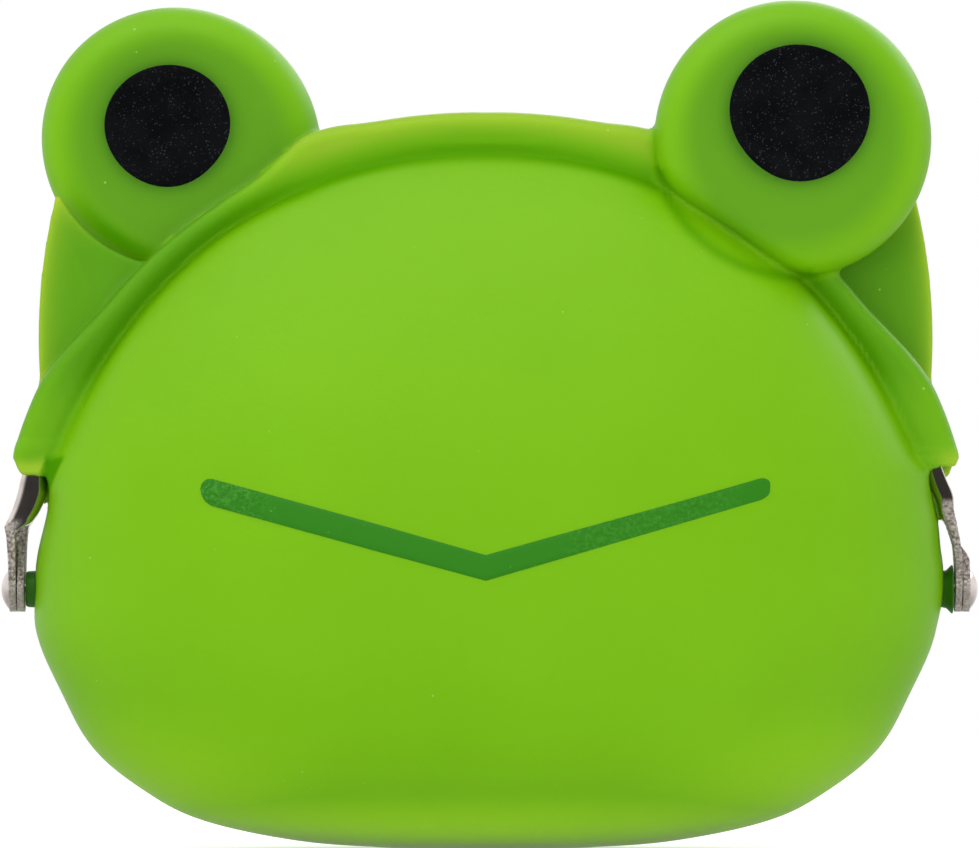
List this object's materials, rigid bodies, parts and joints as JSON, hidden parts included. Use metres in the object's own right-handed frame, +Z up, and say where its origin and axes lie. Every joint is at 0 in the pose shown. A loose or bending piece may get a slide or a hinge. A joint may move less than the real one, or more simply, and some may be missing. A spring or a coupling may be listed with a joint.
{
  "type": "coin purse",
  "caption": "Silicone coin purse shaped as a frog's face, on a hinged clasp frame of rolled steel arches, with raised disc eyes, painted pupils and a painted mouth.",
  "frame": {"origin": "middle of the purse's footprint, on the surface it stands on", "axes": "+X toward the right-hand hinge as the face is seen, -Y toward the front, where the mouth is, +Z up"},
  "size_m": [0.11, 0.0436, 0.095],
  "materials": {
    "silicone": "matt, translucent lime green silicone",
    "green_print": "glossy dark green paint",
    "black_print": "satin black ink",
    "plated_steel": "bright nickel plate, sheared edges"
  },
  "bodies": {
    "body": {"pouch": "silicone", "mouth": "green_print", "rivet_left": "plated_steel", "rivet_right": "plated_steel"},
    "front_half": {"front_frame": "plated_steel", "front_sleeve": "silicone", "front_tab": "silicone", "front_wall": "silicone", "right_eye": "silicone", "right_pupil": "black_print"},
    "rear_half": {"rear_frame": "plated_steel", "rear_sleeve": "silicone", "rear_tab": "silicone", "rear_wall": "silicone", "left_eye": "silicone", "left_pupil": "black_print"}
  },
  "joints": [
    {"name": "front_hinge", "type": "hinge", "parent": "body", "child": "front_half", "pos_m": [0, 0, 0.0291], "axis": [1, 0, 0], "range_deg": [0, 35], "deforming": ["front_wall"]},
    {"name": "rear_hinge", "type": "hinge", "parent": "body", "child": "rear_half", "pos_m": [0, 0, 0.0291], "axis": [1, 0, 0], "range_deg": [-35, 0], "deforming": ["rear_wall"]}
  ],
  "couplings": [
    {"joint": "rear_hinge", "follows": "front_hinge", "ratio": -1}
  ]
}
